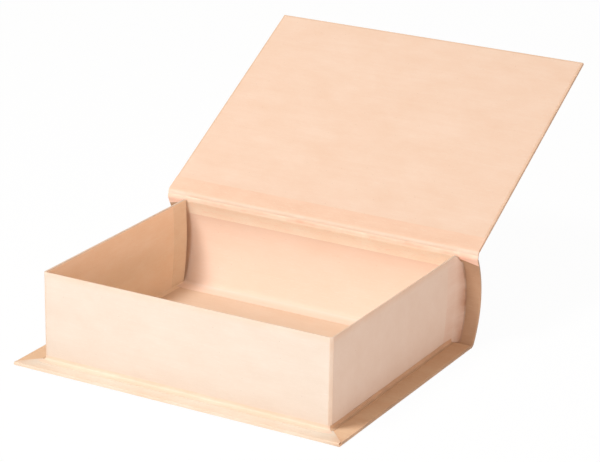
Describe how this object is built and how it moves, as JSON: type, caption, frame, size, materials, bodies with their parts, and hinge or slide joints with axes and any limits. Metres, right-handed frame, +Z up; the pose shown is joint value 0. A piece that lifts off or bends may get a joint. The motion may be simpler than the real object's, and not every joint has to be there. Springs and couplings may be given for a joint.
{
  "type": "book-shaped box",
  "caption": "Kraft box built like a book: a walled tray on a flat base, a rounded spine and a flat lid that folds shut on a creased paper hinge.",
  "frame": {"origin": "centre of the base's flat underside", "axes": "+X along the spine and the hinge, +Y from the front of the tray to the spine, +Z up"},
  "size_m": [0.25, 0.3607, 0.1635],
  "materials": {
    "greyboard": "matte",
    "card": "matte",
    "kraft_cover": "matte",
    "kraft_lining": "matte",
    "kraft_tape": "matte"
  },
  "bodies": {
    "box": {"base_board": "greyboard", "base_cover_paper": "kraft_cover", "floor_lining": "kraft_lining", "front_wall_board": "card", "left_wall_board": "card", "right_wall_board": "card", "tray_wrap_paper": "kraft_cover", "front_lining": "kraft_lining", "left_lining": "kraft_lining", "right_lining": "kraft_lining", "front_foot_tape": "kraft_tape", "left_foot_tape": "kraft_tape", "right_foot_tape": "kraft_tape", "spine_board": "card", "spine_cover_paper": "kraft_cover", "spine_lining": "kraft_lining", "lower_joint_strip": "kraft_tape", "left_gusset": "kraft_tape", "right_gusset": "kraft_tape", "spine_hinge_leaf": "kraft_tape"},
    "hinge": {"hinge_gutter": "kraft_tape"},
    "lid": {"lid_board": "greyboard", "lid_cover_paper": "kraft_cover", "lid_lining": "kraft_lining", "lid_hinge_leaf": "kraft_tape"}
  },
  "joints": [
    {"name": "spine_crease", "type": "hinge", "parent": "box", "child": "hinge", "pos_m": [0, 0.09893, 0.06395], "axis": [1, 0, 0], "range_deg": [-24.75, 75.25]},
    {"name": "lid_crease", "type": "hinge", "parent": "hinge", "child": "lid", "pos_m": [0, 0.10025, 0.06877], "axis": [1, 0, 0], "range_deg": [-24.75, 75.25]}
  ],
  "couplings": [
    {"joint": "spine_crease", "follows": "lid_crease", "ratio": 1}
  ]
}
